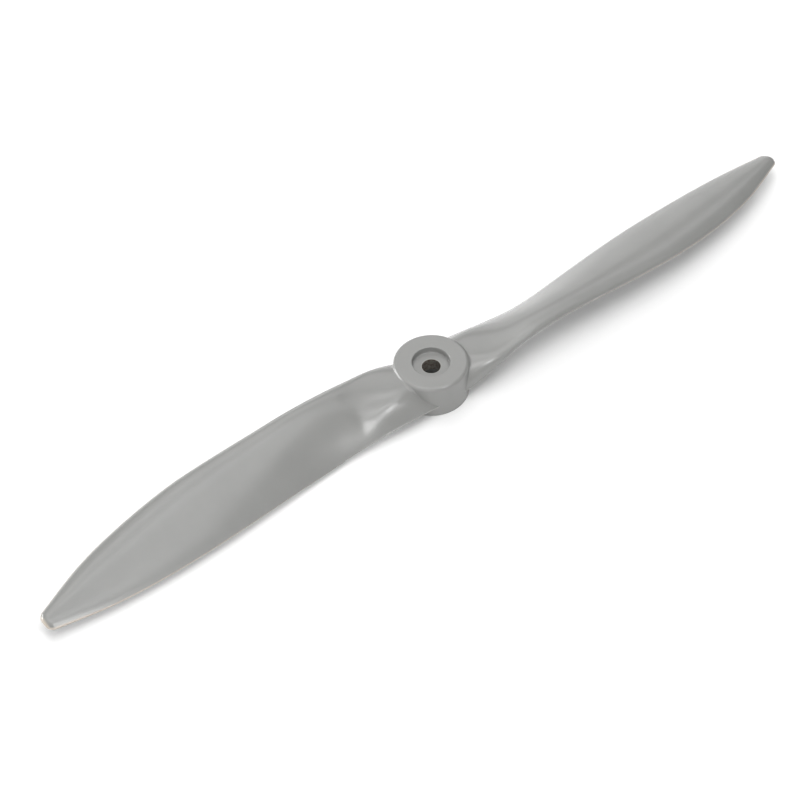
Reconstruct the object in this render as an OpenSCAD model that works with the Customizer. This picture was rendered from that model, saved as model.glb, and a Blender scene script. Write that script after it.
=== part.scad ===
// Two-bladed fixed-pitch propeller for a small model aircraft or drone.
// Frame: the origin is the middle of the hub's back face, +Z runs along the
// shaft bore to the front face, and +X runs through the right blade's tip.
// Seen from the front it pulls when it turns clockwise: the edge on the -Y
// side of the right blade leads, and stands higher than the trailing edge.

/* [Propeller] */
// Diameter across the two tips
prop_d = 266.7; // [200:0.1:340]
// Distance that one full turn screws forward
pitch = 143; // [90:1:180]
// Radius from which the blade has its full pitch
full_pitch_r = 48; // [40:1:60]

/* [Hub] */
// Outer diameter of the hub
hub_d = 21.3; // [18:0.1:24]
// Height of the hub from its back face to its front face
hub_h = 11.1; // [10:0.1:14]
// Rounding of the edge around the front face
front_edge_r = 1; // [0.3:0.1:1.2]
// Bevel of the edge around the back face
back_bevel = 0.3; // [0.1:0.1:0.8]
// Diameter of the shaft bore
bore_d = 5.2; // [3:0.1:8]
// Thickness of the web that the shaft bore goes through
web_t = 4.2; // [3:0.1:6]
// Diameter of the recess in the front face
front_recess_d = 10.7; // [9:0.1:13]
// Depth of the recess in the front face
front_recess_depth = 2; // [1:0.1:3]
// Diameter of the recess in the back face
back_recess_d = 10; // [9:0.1:13]

/* [Blade outline] */
// Leading edge to the blade's axis, just outside the hub
lead_root = 11.15; // [10:0.05:13]
// Leading edge to the blade's axis, at the neck
lead_neck = 11; // [10:0.05:13]
// Leading edge to the blade's axis, at the waist
lead_waist = 11.5; // [10:0.05:14]
// Leading edge to the blade's axis, where the blade is widest
lead_wide = 13.7; // [11:0.05:18]
// Leading edge to the blade's axis, where it begins to sweep in
lead_taper = 12.6; // [10:0.05:16]
// Leading edge to the blade's axis, where it sweeps in to the tip
lead_outer = 9.2; // [7:0.05:12]
// Leading edge to the blade's axis, at the tip
lead_tip = 2.7; // [2:0.05:6]
// Trailing edge to the blade's axis, just outside the hub
trail_root = 8.75; // [7:0.05:10]
// Trailing edge to the blade's axis, at the neck
trail_neck = 7.4; // [6:0.05:10]
// Trailing edge to the blade's axis, at the waist
trail_waist = 6.4; // [5:0.05:9]
// Trailing edge to the blade's axis, where the blade is widest
trail_wide = 7.6; // [5:0.05:11]
// Trailing edge to the blade's axis, where it begins to sweep in
trail_taper = 7.25; // [5:0.05:10]
// Trailing edge to the blade's axis, where it sweeps in to the tip
trail_outer = 5.75; // [4:0.05:9]
// Trailing edge to the blade's axis, at the tip
trail_tip = 2.5; // [2:0.05:6]
// Rounding of the two corners of the tip
tip_corner_r = 1.8; // [0.5:0.1:1.9]

/* [Blade height] */
// Height of the parting line where it meets the hub
parting_z = 3.2; // [2.5:0.1:5]
// Height of the middle of the chord just outside the hub
root_z = 5.7; // [5:0.05:6.5]
// Height of the middle of the chord at the neck
neck_z = 6.6; // [6:0.05:7.5]
// Height of the middle of the chord at the waist
waist_z = 6.65; // [6:0.05:7.5]
// Height of the middle of the chord where the blade is widest
wide_z = 6.05; // [5:0.05:7.5]
// Height of the middle of the chord where it begins to sweep in
taper_z = 5.3; // [4:0.05:7]
// Height of the middle of the chord where it sweeps in to the tip
outer_z = 4.95; // [3:0.05:7]
// Height of the middle of the chord at the tip
tip_z = 5.05; // [3:0.05:8]

/* [Blade section] */
// Crown above the chord just outside the hub, under the domed root
crown_root = 3.4; // [2.5:0.05:4.5]
// Crown above the chord at the neck, under the domed root
crown_neck = 3.1; // [2.5:0.05:4.5]
// Crown above the chord at the waist
crown_waist = 3.8; // [2.5:0.05:4.5]
// Crown above the chord where the blade is widest
crown_wide = 2.85; // [2:0.05:4]
// Crown above the chord where it begins to sweep in
crown_taper = 2.75; // [1.8:0.05:4]
// Crown above the chord where it sweeps in to the tip
crown_outer = 2.3; // [1.5:0.05:3]
// Crown above the chord at the tip
crown_tip = 1.3; // [0.6:0.05:1.8]
// Steepest slope that the crown falls to the trailing edge with, in degrees
flank_angle = 50; // [45:1:55]
// Belly below the chord at the tip
belly_tip = 0.3; // [0.2:0.1:0.6]
// Thickness of the leading edge
lead_t = 0.26; // [0.2:0.02:0.5]
// Thickness of the trailing edge
trail_t = 0.6; // [0.4:0.1:1.2]

/* [Blade root] */
// Radius at which the domed root has died out
root_reach = 30; // [24:0.5:40]
// Drop from the hub's front face to the top of the domed root
root_drop = 0.4; // [0.2:0.1:2]
// Rounding of the domed root over the leading edge
root_nose_r = 3.4; // [2:0.1:6]
// Slope of the domed root down to the trailing edge
root_flank = 0.9; // [0.6:0.05:1.5]
// Gap from the hub's back face to the blade's belly at the hub
belly_gap = 1; // [0.4:0.1:2]

/* [Hidden] */
$fn = 96;

hub_r = hub_d / 2;
tip_r = prop_d / 2;
span = tip_r - hub_r;
// The blade starts inside the hub, which is then cut out of it
start_r = hub_r / 5;
// How far inside the hub's wall the two edges start
edge_tuck = hub_r / 10;
// A cut runs this far past the face that it opens
overrun = hub_h / 10;
nylon = [0.63, 0.63, 0.60];

// Places along the span, from 0 at the hub's wall to 1 at the tip
start_s = (start_r - hub_r) / span;
root_s = 0.027;
neck_s = 0.11;
waist_s = 0.21;
wide_s = 0.54;
taper_s = 0.7;
outer_s = 0.85;

// Each list gives a place along the span and the size there
leading_edge = [
    [start_s, hub_r - edge_tuck],
    [root_s, lead_root],
    [neck_s, lead_neck],
    [waist_s, lead_waist],
    [wide_s, lead_wide],
    [taper_s, lead_taper],
    [outer_s, lead_outer],
    [1, lead_tip]
];
trailing_edge = [
    [start_s, hub_r - edge_tuck],
    [root_s, trail_root],
    [neck_s, trail_neck],
    [waist_s, trail_waist],
    [wide_s, trail_wide],
    [taper_s, trail_taper],
    [outer_s, trail_outer],
    [1, trail_tip]
];
chord_height = [
    [start_s, parting_z],
    [root_s, root_z],
    [neck_s, neck_z],
    [waist_s, waist_z],
    [wide_s, wide_z],
    [taper_s, taper_z],
    [outer_s, outer_z],
    [1, tip_z]
];
crown_height = [
    [start_s, crown_root],
    [root_s, crown_root],
    [neck_s, crown_neck],
    [waist_s, crown_waist],
    [wide_s, crown_wide],
    [taper_s, crown_taper],
    [outer_s, crown_outer],
    [1, crown_tip]
];

// How fast the thick belly of the root dies out along the span
belly_fade = 4;
tail_fade = 5;
// Powers that shape the section: the crown has a round nose, the belly a sharp
// one, and both thin down to the tail
crown_nose = 0.54;
crown_tail = 0.84;
belly_nose = 0.9;
root_tail = 0.7;
outer_tail = 1;
// How sharply the crown bends into its flank, and the domed root into its sides
flank_bend = 2.6;
root_bend = 4;

// The blade is lofted through this many sections of this many steps
sections = 48;
chord_steps = 14;

// Slope of a list of points at one of its points
function slope(points, i) =
    let(before = points[max(i - 1, 0)], after = points[min(i + 1, len(points) - 1)])
    (after[1] - before[1]) / (after[0] - before[0]);

// The stretch of a list of points that a place falls in
function stretch(points, s, i = 0) =
    i < len(points) - 2 && s > points[i + 1][0] ? stretch(points, s, i + 1) : i;

// A smooth curve through a list of points
function curve(points, s) =
    let(
        i = stretch(points, s),
        length = points[i + 1][0] - points[i][0],
        t = (s - points[i][0]) / length
    )
    (2 * t ^ 3 - 3 * t ^ 2 + 1) * points[i][1]
    + (t ^ 3 - 2 * t ^ 2 + t) * length * slope(points, i)
    + (3 * t ^ 2 - 2 * t ^ 3) * points[i + 1][1]
    + (t ^ 3 - t ^ 2) * length * slope(points, i + 1);

// Rises smoothly from 0 to 1
function ease(t) = t <= 0 ? 0 : t >= 1 ? 1 : t * t * (3 - 2 * t);

// Place along the span of a radius, and the share of the span left outside it
function place(r) = (r - hub_r) / span;
function left_outside(r) = 1 - max(0, place(r));

// Angle of the chord, which flattens out towards the hub
function twist(r) = atan(pitch / (2 * PI * r)) * ease((r - start_r) / (full_pitch_r - start_r));

// How far the tip's rounded corners draw each edge in
function corner_inset(r) =
    let(past = max(0, r - tip_r + tip_corner_r))
    tip_corner_r - sqrt(max(0, tip_corner_r ^ 2 - past ^ 2));

function mix(a, b, share) = a + (b - a) * share;

// The lowest of some heights, rounded off where they cross
function lowest(heights, bend) =
    min(heights) <= 0 ? 0
    : ([for (h = heights) h ^ -bend] * [for (h = heights) 1]) ^ (-1 / bend);

// Height of a section at a share of its chord, 1 at its thickest
function fullness(c, nose, tail) =
    let(thickest = nose / (nose + tail))
    (c / thickest) ^ nose * ((1 - c) / (1 - thickest)) ^ tail;

// Crown above the chord at a share of it: an aerofoil with a flank that isn't too
// steep, which blends towards the hub into a domed root
function crown(r, c, length, chord_z) =
    let(
        aerofoil = curve(crown_height, place(r)) * fullness(c, crown_nose, crown_tail),
        flank = tan(flank_angle - twist(r)) * (1 - c) * length,
        died_out = ease((r - hub_r) / (root_reach - hub_r)),
        level = hub_h - root_drop - chord_z,
        nose = sqrt(2 * root_nose_r * (1 - died_out) * c * length),
        side = root_flank * (1 - c) * length
    )
    mix(lowest([level, nose, side], root_bend), lowest([aerofoil, flank], flank_bend), died_out);

// Belly below the chord at a share of it: at the hub it reaches down almost to the
// back face, and further out it thins down to the tip
function belly(r, c) =
    let(
        deepest = mix(belly_tip, curve(chord_height, place(r)) - belly_gap, left_outside(r) ^ belly_fade),
        tail = mix(outer_tail, root_tail, left_outside(r) ^ tail_fade)
    )
    deepest * fullness(c, belly_nose, tail);

// One section of the blade, from the trailing edge over the crown to the
// leading edge and back along the belly
function section(r) =
    let(
        lead_y = corner_inset(r) - curve(leading_edge, place(r)),
        trail_y = curve(trailing_edge, place(r)) - corner_inset(r),
        middle_z = curve(chord_height, place(r)),
        rise = (trail_y - lead_y) / 2 * tan(twist(r)),
        lead = [lead_y, middle_z + rise],
        chord = [trail_y - lead_y, -2 * rise],
        length = norm(chord),
        up = [-chord[1], chord[0]] / length,
        shares = [for (i = [0 : chord_steps]) (1 - cos(180 * i / chord_steps)) / 2],
        on_chord = [for (c = shares) lead + chord * c],
        edge = [for (c = shares) mix(lead_t, trail_t, c) / 2],
        over = [for (i = [0 : chord_steps]) edge[i] + crown(r, shares[i], length, on_chord[i][1])],
        under = [for (i = [0 : chord_steps]) edge[i] + belly(r, shares[i])],
        top = [for (i = [0 : chord_steps]) on_chord[i] + up * over[i]],
        bottom = [for (i = [0 : chord_steps]) on_chord[i] - up * under[i]]
    )
    concat(
        [for (i = [chord_steps : -1 : 0]) [r, top[i][0], top[i][1]]],
        [for (i = [0 : chord_steps]) [r, bottom[i][0], bottom[i][1]]]
    );

// The blade, whole, from inside the hub to the tip: close sections where it
// bends most, at both ends
module blade_loft() {
    ring = 2 * (chord_steps + 1);
    rings = [
        for (i = [0 : sections])
        section(start_r + (tip_r - start_r) * (1 - cos(180 * i / sections)) / 2)
    ];
    walls = [
        for (i = [0 : sections - 1], j = [0 : ring - 1])
        let(
            a = i * ring + j,
            b = i * ring + (j + 1) % ring
        )
        each [[a, b + ring, b], [a, a + ring, b + ring]]
    ];
    inner_end = [for (j = [0 : ring - 1]) j];
    outer_end = [for (j = [ring - 1 : -1 : 0]) sections * ring + j];
    polyhedron([for (one = rings) each one], concat(walls, [inner_end, outer_end]));
}

// The hub's outside, without its recesses and bore
module hub_boss() {
    rotate_extrude()
    union() {
        polygon([
            [0, 0],
            [hub_r - back_bevel, 0],
            [hub_r, back_bevel],
            [hub_r, hub_h - front_edge_r],
            [hub_r - front_edge_r, hub_h - front_edge_r],
            [hub_r - front_edge_r, hub_h],
            [0, hub_h]
        ]);
        intersection() {
            translate([hub_r - front_edge_r, hub_h - front_edge_r])
            circle(front_edge_r);
            translate([hub_r - front_edge_r, hub_h - front_edge_r])
            square(front_edge_r);
        }
    }
}

// The hub: a round boss, cored out from both faces down to a web
module hub() {
    back_recess_depth = hub_h - front_recess_depth - web_t;
    color(nylon)
    difference() {
        hub_boss();
        translate([0, 0, -overrun])
        cylinder(d = bore_d, h = hub_h + 2 * overrun);
        translate([0, 0, hub_h - front_recess_depth])
        cylinder(d = front_recess_d, h = front_recess_depth + overrun);
        translate([0, 0, -overrun])
        cylinder(d = back_recess_d, h = back_recess_depth + overrun);
    }
}

// A blade, cut away where the hub is, so that its root lies on the hub's wall
module blade() {
    difference() {
        blade_loft();
        hub_boss();
    }
}

// The blade towards +X
module right_blade() {
    color(nylon)
    blade();
}

// The same blade, half a turn round the bore
module left_blade() {
    color(nylon)
    rotate([0, 0, 180])
    blade();
}

hub();
right_blade();
left_blade();
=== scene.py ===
import math

import bmesh
import bpy
from mathutils import Matrix, Vector


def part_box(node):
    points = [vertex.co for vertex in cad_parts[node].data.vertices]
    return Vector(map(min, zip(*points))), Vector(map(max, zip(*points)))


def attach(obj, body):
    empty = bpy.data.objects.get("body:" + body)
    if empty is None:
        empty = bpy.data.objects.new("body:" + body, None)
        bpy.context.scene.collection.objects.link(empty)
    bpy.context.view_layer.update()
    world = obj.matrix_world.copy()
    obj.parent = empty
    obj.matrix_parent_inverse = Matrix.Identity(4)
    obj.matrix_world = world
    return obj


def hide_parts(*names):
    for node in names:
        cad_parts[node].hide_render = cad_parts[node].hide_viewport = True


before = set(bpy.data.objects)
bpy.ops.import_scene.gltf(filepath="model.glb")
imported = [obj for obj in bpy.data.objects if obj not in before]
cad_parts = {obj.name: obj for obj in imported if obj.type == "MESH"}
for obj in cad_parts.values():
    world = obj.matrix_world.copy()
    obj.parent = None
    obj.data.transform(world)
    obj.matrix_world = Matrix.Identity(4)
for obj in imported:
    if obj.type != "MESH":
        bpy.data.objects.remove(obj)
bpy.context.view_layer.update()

# Hub
# The hub is a round boss of grey glass-filled nylon, moulded in one shot with the
# blades. It is cored out from both faces down to a web, which the shaft goes through.
mm = 0.001
weld_distance = 0.001 * mm
hub_far_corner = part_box("hub")[1]
hub_radius = hub_far_corner.x
hub_height = hub_far_corner.z
front_rim_round = 1 * mm
back_rim_round = 0.3 * mm
bore_radius = 2.6 * mm
bore_length = 4.2 * mm
bore_lip_round = 0.12 * mm
front_recess_radius = 5.35 * mm
front_recess_depth = 2 * mm
back_recess_radius = 5 * mm
recess_lip_round = 0.25 * mm
recess_floor_round = 0.5 * mm
web_top = hub_height - front_recess_depth
web_bottom = web_top - bore_length
rounding_segments = 6
hub_turn_steps = 192

# Corners of the hub's half section: radius, height and rounding
hub_corners = [
    (bore_radius, web_bottom, bore_lip_round),
    (bore_radius, web_top, bore_lip_round),
    (front_recess_radius, web_top, recess_floor_round),
    (front_recess_radius, hub_height, recess_lip_round),
    (hub_radius, hub_height, front_rim_round),
    (hub_radius, 0, back_rim_round),
    (back_recess_radius, 0, recess_lip_round),
    (back_recess_radius, web_bottom, recess_floor_round),
]

# A ring of eight points is drawn out to the half section, its corners are rounded,
# and it is spun round the bore
bpy.ops.object.select_all(action="DESELECT")
bpy.ops.mesh.primitive_circle_add(vertices=len(hub_corners), radius=hub_radius)
hub = bpy.context.object
hub.name = "hub_moulding"
for vertex, (radius, height, rounding) in zip(hub.data.vertices, hub_corners):
    vertex.co = (radius, 0, height)
bpy.ops.object.mode_set(mode="EDIT")
bpy.ops.mesh.select_mode(type="VERT")
for radius, height, rounding in hub_corners:
    bpy.ops.mesh.select_all(action="DESELECT")
    outline = bmesh.from_edit_mesh(hub.data)
    place = Vector((radius, 0, height))
    corner = min(outline.verts, key=lambda vertex: (vertex.co - place).length)
    corner.select = True
    outline.select_flush_mode()
    bpy.ops.mesh.bevel(offset=rounding, segments=rounding_segments, affect="VERTICES")
bpy.ops.mesh.select_all(action="SELECT")
bpy.ops.mesh.spin(steps=hub_turn_steps, angle=2 * math.pi, center=(0, 0, 0), axis=(0, 0, 1))
bpy.ops.mesh.select_all(action="SELECT")
bpy.ops.mesh.remove_doubles(threshold=weld_distance)
bpy.ops.mesh.normals_make_consistent(inside=False)
bpy.ops.object.mode_set(mode="OBJECT")
bpy.ops.object.shade_smooth()
even_shading = hub.modifiers.new("even_shading", "WEIGHTED_NORMAL")
even_shading.keep_sharp = True
bpy.ops.object.modifier_apply(modifier=even_shading.name)


# A node that carries a value evenly from one range to another, and stops at its ends
def add_range(nodes, start, end, at_start, at_end):
    node = nodes.new("ShaderNodeMapRange")
    node.inputs["From Min"].default_value = start
    node.inputs["From Max"].default_value = end
    node.inputs["To Min"].default_value = at_start
    node.inputs["To Max"].default_value = at_end
    return node


# A node that mixes two colours
def add_colour_mix(nodes):
    node = nodes.new("ShaderNodeMix")
    node.data_type = "RGBA"
    return node


# A node that multiplies two values
def add_product(nodes):
    node = nodes.new("ShaderNodeMath")
    node.operation = "MULTIPLY"
    return node


# Nylon grain, which every moulded surface shares: soft clouding in the grey, a fine
# grain from the mould's surface and pale ends of glass fibre
def make_nylon_grain():
    group = bpy.data.node_groups.new("nylon_grain", "ShaderNodeTree")
    scales = {"Cloud Scale": 90, "Grain Scale": 2000, "Fibre Scale": 1500}
    for name, value in scales.items():
        socket = group.interface.new_socket(name, in_out="INPUT", socket_type="NodeSocketFloat")
        socket.default_value = value
    for name in ("Cloud", "Grain", "Fibre"):
        group.interface.new_socket(name, in_out="OUTPUT", socket_type="NodeSocketFloat")
    nodes = group.nodes
    link = group.links.new
    values = nodes.new("NodeGroupInput")
    results = nodes.new("NodeGroupOutput")
    place_on_piece = nodes.new("ShaderNodeTexCoord")
    cloud = nodes.new("ShaderNodeTexNoise")
    cloud.inputs["Detail"].default_value = 4
    cloud.inputs["Roughness"].default_value = 0.6
    grain = nodes.new("ShaderNodeTexNoise")
    grain.inputs["Detail"].default_value = 3
    grain.inputs["Roughness"].default_value = 0.65
    fibre = nodes.new("ShaderNodeTexVoronoi")
    fibre_core = 0.02
    fibre_rim = 0.16
    fibre_end = add_range(nodes, fibre_core, fibre_rim, 1, 0)
    for texture, scale in zip((cloud, grain, fibre), scales):
        link(place_on_piece.outputs["Object"], texture.inputs["Vector"])
        link(values.outputs[scale], texture.inputs["Scale"])
    link(fibre.outputs["Distance"], fibre_end.inputs["Value"])
    link(cloud.outputs["Fac"], results.inputs["Cloud"])
    link(grain.outputs["Fac"], results.inputs["Grain"])
    link(fibre_end.outputs["Result"], results.inputs["Fibre"])
    return group


nylon_grain = make_nylon_grain()
nylon_dark = (0.222, 0.223, 0.217, 1)
nylon_light = (0.254, 0.255, 0.247, 1)
fibre_pale = (0.32, 0.32, 0.30, 1)
fibre_strength = 0.15
least_roughness = 0.236
most_roughness = 0.27
relief_strength = 0.3


# Moulded nylon in one grey, clouded and grained
def make_nylon(name, grain_depth):
    material = bpy.data.materials.new(name)
    material.use_nodes = True
    nodes = material.node_tree.nodes
    link = material.node_tree.links.new
    shader = nodes["Principled BSDF"]
    shader.inputs["IOR"].default_value = 1.5
    grain = nodes.new("ShaderNodeGroup")
    grain.node_tree = nylon_grain
    grain.name = "grain"
    grey = add_colour_mix(nodes)
    grey.inputs["A"].default_value = nylon_dark
    grey.inputs["B"].default_value = nylon_light
    faint_fibre = add_product(nodes)
    faint_fibre.inputs[1].default_value = fibre_strength
    flecked = add_colour_mix(nodes)
    flecked.name = "flecked"
    flecked.inputs["B"].default_value = fibre_pale
    gloss = add_range(nodes, 0, 1, least_roughness, most_roughness)
    gloss.name = "gloss"
    relief = nodes.new("ShaderNodeBump")
    relief.name = "relief"
    relief.inputs["Strength"].default_value = relief_strength
    relief.inputs["Distance"].default_value = grain_depth
    link(grain.outputs["Cloud"], grey.inputs["Factor"])
    link(grey.outputs["Result"], flecked.inputs["A"])
    link(grain.outputs["Fibre"], faint_fibre.inputs[0])
    link(faint_fibre.outputs["Value"], flecked.inputs["Factor"])
    link(flecked.outputs["Result"], shader.inputs["Base Color"])
    link(grain.outputs["Grain"], gloss.inputs["Value"])
    link(gloss.outputs["Result"], shader.inputs["Roughness"])
    link(grain.outputs["Grain"], relief.inputs["Height"])
    link(relief.outputs["Normal"], shader.inputs["Normal"])
    return material


# A mottled, brownish shade is painted on the bore's wall, and its lip is paler: both masks
# come from the distance to the bore's axis
hub_grain_depth = 0.012 * mm
bore_painted_shade = (0.11, 0.09, 0.07, 1)
bore_lip_pale = (0.36, 0.36, 0.34, 1)
wall_end = bore_radius + 0.02 * mm
lip_end = bore_radius + bore_lip_round
pale_lip_end = bore_radius + 0.32 * mm
pale_lip_strength = 0.7
mottle_low = 0.3
mottle_high = 0.7
least_bore_shade = 0.55
hub_nylon = make_nylon("hub_nylon", hub_grain_depth)
nodes = hub_nylon.node_tree.nodes
link = hub_nylon.node_tree.links.new
place_on_hub = nodes.new("ShaderNodeTexCoord")
flattened = nodes.new("ShaderNodeVectorMath")
flattened.operation = "MULTIPLY"
flattened.inputs[1].default_value = (1, 1, 0)
axis_distance = nodes.new("ShaderNodeVectorMath")
axis_distance.operation = "LENGTH"
in_bore = add_range(nodes, wall_end, lip_end, 1, 0)
near_lip = add_range(nodes, lip_end, pale_lip_end, pale_lip_strength, 0)
mottle = nodes.new("ShaderNodeTexNoise")
mottle.inputs["Scale"].default_value = 1400
mottle_strength = add_range(nodes, mottle_low, mottle_high, least_bore_shade, 1)
mottled_bore_shade = add_product(nodes)
pale_lip = add_colour_mix(nodes)
pale_lip.inputs["B"].default_value = bore_lip_pale
# Painted shade darkens the bore's wall
bore_shade_mix = add_colour_mix(nodes)
bore_shade_mix.inputs["B"].default_value = bore_painted_shade
link(place_on_hub.outputs["Object"], flattened.inputs[0])
link(flattened.outputs["Vector"], axis_distance.inputs[0])
link(axis_distance.outputs["Value"], in_bore.inputs["Value"])
link(axis_distance.outputs["Value"], near_lip.inputs["Value"])
link(place_on_hub.outputs["Object"], mottle.inputs["Vector"])
link(mottle.outputs["Fac"], mottle_strength.inputs["Value"])
link(in_bore.outputs["Result"], mottled_bore_shade.inputs[0])
link(mottle_strength.outputs["Result"], mottled_bore_shade.inputs[1])
link(nodes["flecked"].outputs["Result"], pale_lip.inputs["A"])
link(near_lip.outputs["Result"], pale_lip.inputs["Factor"])
link(pale_lip.outputs["Result"], bore_shade_mix.inputs["A"])
link(mottled_bore_shade.outputs["Value"], bore_shade_mix.inputs["Factor"])
link(bore_shade_mix.outputs["Result"], nodes["Principled BSDF"].inputs["Base Color"])
hub.data.materials.append(hub_nylon)
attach(hub, "root")
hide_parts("hub")

# Blades
# Each blade is a twisted aerofoil of the same nylon, grown out of the hub's wall in
# the same shot. The mould's two halves meet along its edges and leave a thin lip there.
tip_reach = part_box("right_blade")[1].x
blade_start = hub_radius / 5
edge_tuck = hub_radius / 10
pitch = 143 * mm
full_pitch_reach = 48 * mm
tip_corner = 1.8 * mm
crown_nose = 0.54
crown_tail = 0.84
flank_angle = math.radians(50)
flank_bend = 2.6
root_reach = 30 * mm
root_drop = 0.4 * mm
root_nose = 3.4 * mm
root_flank = 0.9
root_bend = 4
belly_gap = 1 * mm
belly_tip = 0.3 * mm
belly_thinning = 4
belly_nose = 0.9
belly_tail_at_root = 0.7
belly_tail_at_tip = 1
belly_tail_change = 5
trail_thickness = 0.6 * mm
lead_lip_width = 0.2 * mm
lead_lip_thickness = 0.26 * mm
trail_lip_width = 0.3 * mm
root_fillet = 0.8 * mm
least_fillet = 0.02 * mm
fillet_fade = 2.5 * mm
fillet_room = 1.2 * mm
least_room = 0.1 * mm
rim_clearance = 0.4 * mm
blade_ring = 128
fillet_rows = 8
span_rows = 160
span_row_spread = 1.6
tip_rows = 12


# Share of the span that lies inside a reach from the shaft's axis
def share_of_span(reach):
    return (reach - hub_radius) / (tip_reach - hub_radius)


# Distance of each edge from the blade's axis, height of the chord's middle, and
# crown above the chord, each at the same few shares of the span
span_shares = [share_of_span(blade_start), 0.027, 0.11, 0.21, 0.54, 0.7, 0.85, 1]
inner_edge = hub_radius - edge_tuck
leading_edge = [
    inner_edge, 11.15 * mm, 11.0 * mm, 11.5 * mm, 13.7 * mm, 12.6 * mm, 9.2 * mm, 2.7 * mm,
]
trailing_edge = [
    inner_edge, 8.75 * mm, 7.4 * mm, 6.4 * mm, 7.6 * mm, 7.25 * mm, 5.75 * mm, 2.5 * mm,
]
chord_height = [
    3.2 * mm, 5.7 * mm, 6.6 * mm, 6.65 * mm, 6.05 * mm, 5.3 * mm, 4.95 * mm, 5.05 * mm,
]
crown_height = [
    3.4 * mm, 3.4 * mm, 3.1 * mm, 3.8 * mm, 2.85 * mm, 2.75 * mm, 2.3 * mm, 1.3 * mm,
]


# Rises smoothly from 0 to 1
def ease(share):
    share = min(max(share, 0), 1)
    return share * share * (3 - 2 * share)


def mix(first, second, share):
    return first + (second - first) * share


# Value at a share of the span of a smooth curve through a list of sizes
def along(sizes, place):
    def slope(index):
        before = max(index - 1, 0)
        after = min(index + 1, len(sizes) - 1)
        return (sizes[after] - sizes[before]) / (span_shares[after] - span_shares[before])

    index = 0
    while index < len(sizes) - 2 and place > span_shares[index + 1]:
        index += 1
    length = span_shares[index + 1] - span_shares[index]
    t = (place - span_shares[index]) / length
    return (
        (2 * t ** 3 - 3 * t ** 2 + 1) * sizes[index]
        + (t ** 3 - 2 * t ** 2 + t) * length * slope(index)
        + (3 * t ** 2 - 2 * t ** 3) * sizes[index + 1]
        + (t ** 3 - t ** 2) * length * slope(index + 1)
    )


# Height of an aerofoil at a share of its chord, 1 where it is thickest
def fullness(share, nose, tail):
    thickest = nose / (nose + tail)
    return (share / thickest) ** nose * ((1 - share) / (1 - thickest)) ** tail


# The lowest of some heights, rounded off where they cross
def lowest_of(heights, bend):
    if min(heights) <= 0:
        return 0
    return sum(height ** -bend for height in heights) ** (-1 / bend)


# Half the thickness of a lip with a round edge, at a distance in from that edge
def round_edge(half_thickness, distance):
    short = max(0, 1 - distance / half_thickness)
    return half_thickness * math.sqrt(max(0, 1 - short ** 2))


# A point of the blade's skin: its reach from the shaft's axis, its share of the
# chord from the leading edge, and the side of the chord that it is on, which is 1 for
# the crown and -1 for the belly
def skin_point(reach, share, side):
    past = min(max(0, reach - tip_reach + tip_corner), tip_corner)
    tip_round = math.sqrt(1 - (past / tip_corner) ** 2)
    inset = tip_corner * (1 - tip_round)
    place = share_of_span(reach)
    lead_y = inset - along(leading_edge, place)
    trail_y = along(trailing_edge, place) - inset
    full_pitch = ease((reach - blade_start) / (full_pitch_reach - blade_start))
    twist = math.atan(pitch / (2 * math.pi * reach)) * full_pitch
    width = trail_y - lead_y
    chord = width / math.cos(twist)
    middle = along(chord_height, place)
    y = lead_y + width * share
    z = middle + (0.5 - share) * width * math.tan(twist)
    inner_chord = chord - lead_lip_width - trail_lip_width
    from_lead = min(max(share * chord - lead_lip_width, 0), inner_chord)
    inner_share = from_lead / inner_chord
    if side > 0:
        from_trail = inner_chord - from_lead
        aerofoil = along(crown_height, place) * fullness(inner_share, crown_nose, crown_tail)
        flank = math.tan(flank_angle - twist) * from_trail
        crown = lowest_of((aerofoil, flank), flank_bend)
        level = hub_height - root_drop - z
        died_out = ease((reach - hub_radius) / (root_reach - hub_radius))
        nose = math.sqrt(2 * root_nose * (1 - died_out) * from_lead)
        dome = lowest_of((level, nose, root_flank * from_trail), root_bend)
        swell = mix(dome, crown, died_out)
    else:
        outside = 1 - max(0, place)
        thickest = mix(belly_tip, middle - belly_gap, outside ** belly_thinning)
        tail = mix(belly_tail_at_tip, belly_tail_at_root, outside ** belly_tail_change)
        swell = thickest * fullness(inner_share, belly_nose, tail)
    edge = mix(lead_lip_thickness, trail_thickness, share) / 2
    edge = min(round_edge(edge, share * chord), round_edge(edge, (1 - share) * chord))
    lift = (swell + edge) * tip_round * side
    return Vector((reach, y + math.sin(twist) * lift, z + math.cos(twist) * lift))


# Radius of the hub's wall at a height, drawn in at the rounded front rim
def wall_radius(height):
    above = min(max(0, height - hub_height + front_rim_round), front_rim_round)
    return hub_radius - front_rim_round + math.sqrt(front_rim_round ** 2 - above ** 2)


# How far a point lies outside the hub's wall
def wall_distance(point):
    return math.hypot(point.x, point.y) - wall_radius(point.z)


# The reach at which a line along the blade's skin is a distance from the hub's wall
def reach_at(distance, share, side):
    halvings = 40
    inner = blade_start
    outer = hub_radius * 2
    for halving in range(halvings):
        middle = (inner + outer) / 2
        if wall_distance(skin_point(middle, share, side)) < distance:
            inner = middle
        else:
            outer = middle
    return (inner + outer) / 2


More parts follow.
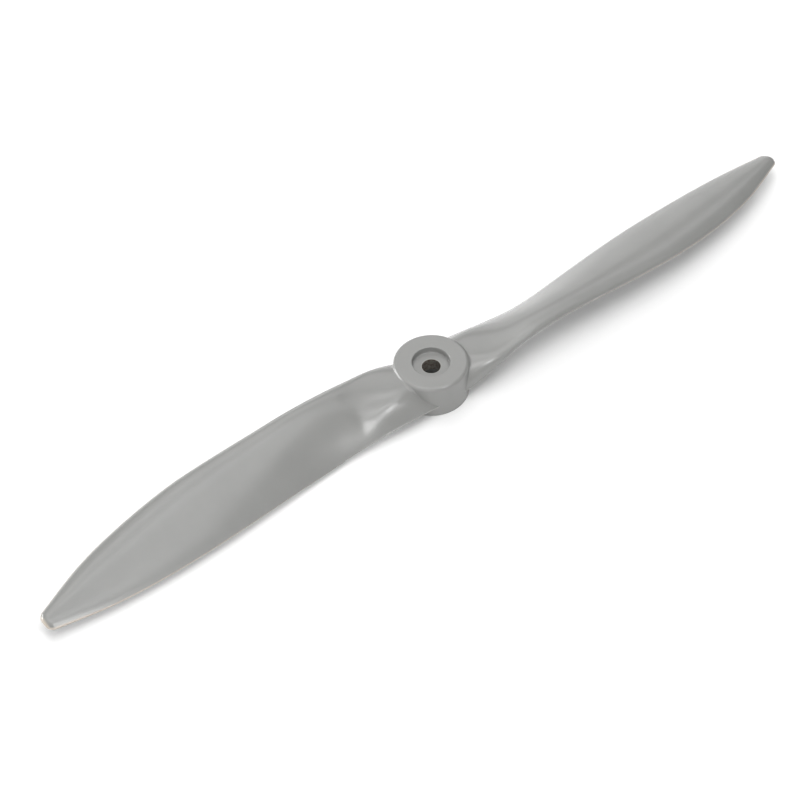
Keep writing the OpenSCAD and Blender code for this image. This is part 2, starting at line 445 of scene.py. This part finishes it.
# Direction up the hub's wall in which the fillet leaves the skin, and its radius,
# which fades out at the blade's two edges and away from the hub's rims
def fillet_at(share, side):
    edge_share = 0.01
    span_step = 0.05 * mm
    chord_step = 0.002
    reach = reach_at(0, share, side)
    inner_share = min(max(share, edge_share), 1 - edge_share)
    point = skin_point(reach, inner_share, side)
    along_span = skin_point(reach + span_step, inner_share, side) - point
    along_chord = skin_point(reach, inner_share + chord_step, side) - point
    outward = along_span.cross(along_chord).normalized() * side
    from_wall = Vector((point.x, point.y, 0)).normalized()
    up_wall = outward - from_wall * outward.dot(from_wall)
    room = hub_height - rim_clearance - point.z if side > 0 else point.z - back_rim_round
    edge_distance = min(share, 1 - share) * 2 * hub_radius
    radius = min(root_fillet, max(room, least_room))
    radius *= 1 - ease((room - fillet_room) / fillet_room)
    radius *= up_wall.length ** 2 * ease(edge_distance / fillet_fade)
    return up_wall.normalized(), max(radius, least_fillet)


# One line along the blade's skin, from the hub's wall to the tip
def skin_line(share, side):
    up_wall, radius = fillet_at(share, side)
    line = []
    for row in range(fillet_rows):
        turn = math.pi / 2 * row / fillet_rows
        distance = radius * (1 - math.cos(turn))
        point = skin_point(reach_at(distance, share, side), share, side)
        point += up_wall * radius * (1 - math.sin(turn))
        drawn = (wall_radius(point.z) + distance) / math.hypot(point.x, point.y)
        line.append(Vector((point.x * drawn, point.y * drawn, point.z)))
    span_start = reach_at(radius, share, side)
    span_end = tip_reach - tip_corner
    for row in range(span_rows):
        spread = (row / span_rows) ** span_row_spread
        line.append(skin_point(mix(span_start, span_end, spread), share, side))
    for row in range(tip_rows + 1):
        turn = math.pi / 2 * row / tip_rows
        line.append(skin_point(span_end + tip_corner * math.sin(turn), share, side))
    return line


# A tube's two ends are closed by strips, and it is cut into as many rows as the skin
# has. Each of its points is then drawn to the skin: its turn gives the place round the
# section, and its length the row
bpy.ops.object.select_all(action="DESELECT")
row_count = fillet_rows + span_rows + tip_rows
bpy.ops.mesh.primitive_cylinder_add(
    vertices=blade_ring,
    radius=1,
    depth=row_count,
    location=(row_count / 2, 0, 0),
    rotation=(0, math.pi / 2, 0),
)
right_blade = bpy.context.object
right_blade.name = "right_blade_moulding"
bpy.ops.object.transform_apply(location=True, rotation=True)
bpy.ops.object.mode_set(mode="EDIT")
bpy.ops.mesh.select_mode(type="VERT")
last_step = blade_ring // 2
end_tolerance = 0.1
strip_tolerance = 0.0001
for end in (0, row_count):
    for step in range(1, last_step):
        across = math.cos(2 * math.pi * step / blade_ring)
        bpy.ops.mesh.select_all(action="DESELECT")
        tube = bmesh.from_edit_mesh(right_blade.data)
        for vertex in tube.verts:
            on_end = abs(vertex.co.x - end) < end_tolerance
            vertex.select = on_end and abs(vertex.co.y - across) < strip_tolerance
        bpy.ops.mesh.vert_connect()
bpy.ops.mesh.select_mode(type="EDGE")
first_cuts = 9
for cuts in (first_cuts, row_count // (first_cuts + 1) - 1):
    bpy.ops.mesh.select_all(action="DESELECT")
    tube = bmesh.from_edit_mesh(right_blade.data)
    for edge in tube.edges:
        edge.select = abs(edge.verts[0].co.x - edge.verts[1].co.x) > end_tolerance
    bpy.ops.mesh.subdivide(number_cuts=cuts)
bpy.ops.object.mode_set(mode="OBJECT")

skin_lines = {}
for step in range(last_step + 1):
    share = (1 + math.cos(2 * math.pi * step / blade_ring)) / 2
    for side in (1, -1):
        skin_lines[step, side] = skin_line(share, side)

# Two masks for the blade's finish go with the points: a painted highlight along the thin
# edges, which widens towards the tip, and a painted shade under the trailing lip
lead_thinness = 1.8
pale_width_at_root = 0.25 * mm
pale_width_at_tip = 0.6 * mm
pale_widening = 6
under_width = 0.8 * mm
under_start = 30 * mm
under_full = 70 * mm
sharp_angle = math.radians(60)


# Mask of a band along an edge, whole up to half its width and gone at one and a half
def band_mask(distance, width):
    return 1 - ease(distance / width - 0.5)


edge_light_mask = right_blade.data.attributes.new("edge_light_mask", "FLOAT", "POINT")
under_edge_shade = right_blade.data.attributes.new("under_edge_shade", "FLOAT", "POINT")
for index, vertex in enumerate(right_blade.data.vertices):
    turn = math.atan2(vertex.co.z, vertex.co.y)
    step = round(abs(turn) * blade_ring / (2 * math.pi))
    row = round(vertex.co.x)
    side = 1 if turn > 0 else -1
    point = skin_lines[step, side][row]
    vertex.co = point
    to_trail = (point - skin_lines[0, side][row]).length
    to_lead = (point - skin_lines[last_step, side][row]).length
    to_edge = min(to_trail, lead_thinness * to_lead, tip_reach - point.x)
    widened = share_of_span(point.x) ** pale_widening
    pale_width = mix(pale_width_at_root, pale_width_at_tip, widened)
    edge_light_mask.data[index].value = band_mask(to_edge, pale_width)
    if side < 0 and step > 0:
        from_root = ease((point.x - under_start) / (under_full - under_start))
        under_edge_shade.data[index].value = from_root * band_mask(to_trail, under_width)
bpy.ops.object.mode_set(mode="EDIT")
bpy.ops.mesh.select_all(action="SELECT")
bpy.ops.mesh.remove_doubles(threshold=weld_distance)
bpy.ops.mesh.normals_make_consistent(inside=False)
bpy.ops.object.mode_set(mode="OBJECT")
bpy.ops.object.shade_smooth_by_angle(angle=sharp_angle)

# A highlight is painted along the thin edges, and towards the tip a warm glow of light
# shining through them is painted too. A brown shade is painted under the trailing lip. The
# root is glossier and more grained than the rest
edge_painted_highlight = (0.30, 0.30, 0.285, 1)
tip_painted_glow = (0.46, 0.41, 0.355, 1)
under_lip_painted_shade = (0.13, 0.112, 0.095, 1)
blade_grain_depth = 0.03 * mm
warm_start = 25 * mm
warm_full = 80 * mm
root_finish_end = 28 * mm
outer_finish_start = 45 * mm
root_grain = 2.2
outer_grain = 0.15
root_roughness = 0.9
blade_nylon = make_nylon("blade_nylon", blade_grain_depth)
nodes = blade_nylon.node_tree.nodes
link = blade_nylon.node_tree.links.new
place_on_blade = nodes.new("ShaderNodeTexCoord")
place_along = nodes.new("ShaderNodeSeparateXYZ")
reach = nodes.new("ShaderNodeMath")
reach.operation = "ABSOLUTE"
at_edge = nodes.new("ShaderNodeAttribute")
at_edge.attribute_name = "edge_light_mask"
below_edge_shade = nodes.new("ShaderNodeAttribute")
below_edge_shade.attribute_name = "under_edge_shade"
warmth = add_range(nodes, warm_start, warm_full, 0, 1)
# Painted highlight along the thin edges, warming to a painted glow of light through them towards
# the tip
painted_edge_light = add_colour_mix(nodes)
painted_edge_light.inputs["A"].default_value = edge_painted_highlight
painted_edge_light.inputs["B"].default_value = tip_painted_glow
edges_with_painted_light = add_colour_mix(nodes)
# Painted shade under the trailing lip
under_lip_shade_mix = add_colour_mix(nodes)
under_lip_shade_mix.inputs["B"].default_value = under_lip_painted_shade
grain_left = add_range(nodes, root_finish_end, outer_finish_start, root_grain, outer_grain)
fading_grain = add_product(nodes)
root_gloss = add_range(nodes, root_finish_end, outer_finish_start, root_roughness, 1)
blade_gloss = add_product(nodes)
link(place_on_blade.outputs["Object"], place_along.inputs["Vector"])
link(place_along.outputs["X"], reach.inputs[0])
for range_node in (warmth, grain_left, root_gloss):
    link(reach.outputs["Value"], range_node.inputs["Value"])
link(nodes["grain"].outputs["Grain"], fading_grain.inputs[0])
link(grain_left.outputs["Result"], fading_grain.inputs[1])
link(fading_grain.outputs["Value"], nodes["relief"].inputs["Height"])
link(nodes["gloss"].outputs["Result"], blade_gloss.inputs[0])
link(root_gloss.outputs["Result"], blade_gloss.inputs[1])
link(blade_gloss.outputs["Value"], nodes["Principled BSDF"].inputs["Roughness"])
link(warmth.outputs["Result"], painted_edge_light.inputs["Factor"])
link(painted_edge_light.outputs["Result"], edges_with_painted_light.inputs["B"])
link(at_edge.outputs["Fac"], edges_with_painted_light.inputs["Factor"])
link(nodes["flecked"].outputs["Result"], edges_with_painted_light.inputs["A"])
link(edges_with_painted_light.outputs["Result"], under_lip_shade_mix.inputs["A"])
link(below_edge_shade.outputs["Fac"], under_lip_shade_mix.inputs["Factor"])
link(under_lip_shade_mix.outputs["Result"], nodes["Principled BSDF"].inputs["Base Color"])
right_blade.data.materials.append(blade_nylon)

# The left blade is the same moulding, half a turn round the bore
bpy.ops.object.duplicate()
left_blade = bpy.context.object
left_blade.name = "left_blade_moulding"
bpy.ops.transform.rotate(value=math.pi, orient_axis="Z", center_override=(0, 0, 0))
bpy.ops.object.transform_apply(rotation=True)
for blade, node in ((right_blade, "right_blade"), (left_blade, "left_blade")):
    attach(blade, "root")
    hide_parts(node)

# Floor
# A plain white sheet that the propeller lies on, with its hub's back face down.
floor_size = 6
floor_colour = (0.9, 0.9, 0.9, 1)
bpy.ops.object.select_all(action="DESELECT")
bpy.ops.mesh.primitive_plane_add(size=floor_size)
floor = bpy.context.object
floor.name = "floor"
floor_white = bpy.data.materials.new("floor_white")
floor_white.use_nodes = True
floor_shader = floor_white.node_tree.nodes["Principled BSDF"]
floor_shader.inputs["Base Color"].default_value = floor_colour
floor_shader.inputs["Roughness"].default_value = 0.7
floor_shader.inputs["Specular IOR Level"].default_value = 0.1
floor.data.materials.append(floor_white)

# Camera
# A long lens looks down on the hub from the front left, across both blades. The
# centre of the hub's back face shows at hub_pixel of a square picture.
picture_width = 800
focal_pixels = 2938.5
hub_pixel = (431.81, 387.91)
camera_distance = 828.95 * mm
camera_height_angle = math.radians(48.323)
camera_side_angle = math.radians(-38.404)
camera_roll = math.radians(-2.141)
camera_turn = (
    Matrix.Rotation(camera_side_angle, 3, "Z")
    @ Matrix.Rotation(math.pi / 2 - camera_height_angle, 3, "X")
    @ Matrix.Rotation(camera_roll, 3, "Z")
)
pixel_size = camera_distance / focal_pixels
hub_in_view = Vector((
    (hub_pixel[0] - picture_width / 2) * pixel_size,
    (picture_width / 2 - hub_pixel[1]) * pixel_size,
    -camera_distance,
))
bpy.ops.object.camera_add(location=-(camera_turn @ hub_in_view), rotation=camera_turn.to_euler())
camera = bpy.context.object
camera.data.sensor_width = 36
camera.data.lens = camera.data.sensor_width * focal_pixels / picture_width
camera.data.clip_start = 0.05
bpy.context.scene.camera = camera

# Light
# A white tent of large soft panels above, behind, to the left and low round the
# propeller, with a few small keys at the front right that make the glints on the roots.
tent_white = (1, 1, 1, 1)
tent_strength = 0.02
world = bpy.data.worlds.new("white_tent")
world.use_nodes = True
background = world.node_tree.nodes["Background"]
background.inputs["Color"].default_value = tent_white
background.inputs["Strength"].default_value = tent_strength
bpy.context.scene.world = world
bpy.context.scene.view_settings.view_transform = "Standard"

# Each panel's name as the camera sees it, its bearing clockwise from +Y, its angle
# above the floor, its width, its height and its power
panel_distance = 1.2
panels = [
    ("overhead_panel", 0, 90, 0.8, 0.8, 2.8),
    ("high_back_left_panel", 0, 66, 0.6, 0.6, 2.4),
    ("back_panel", 35, 44, 0.8, 0.6, 2.4),
    ("high_back_right_panel", 90, 68, 0.7, 0.6, 2.2),
    ("high_front_panel", 240, 68, 0.6, 0.6, 3.6),
    ("front_left_panel", 268, 46, 0.6, 0.6, 1.3),
    ("low_left_strip", 324, 10, 0.8, 0.36, 12.4),
    ("low_back_strip", 36, 10, 0.8, 0.36, 1.0),
    ("low_front_strip", 228, 10, 0.8, 0.36, 4.8),
    ("key_panel", 178, 48, 0.11, 0.32, 3.0),
    ("low_key_panel", 164, 35, 0.1, 0.1, 0.5),
    ("high_key_panel", 190, 66, 0.28, 0.28, 1.1),
    ("side_key_panel", 158, 65, 0.2, 0.2, 0.7),
]
for name, bearing, height_angle, width, height, power in panels:
    away = Matrix.Rotation(math.radians(-bearing), 3, "Z") @ Vector((0, 1, 0))
    away = away * math.cos(math.radians(height_angle))
    away.z = math.sin(math.radians(height_angle))
    bpy.ops.object.light_add(type="AREA", location=away * panel_distance)
    panel = bpy.context.object
    panel.name = name
    panel.rotation_euler = away.to_track_quat("Z", "Y").to_euler()
    panel.data.shape = "RECTANGLE"
    panel.data.size = width
    panel.data.size_y = height
    panel.data.energy = power
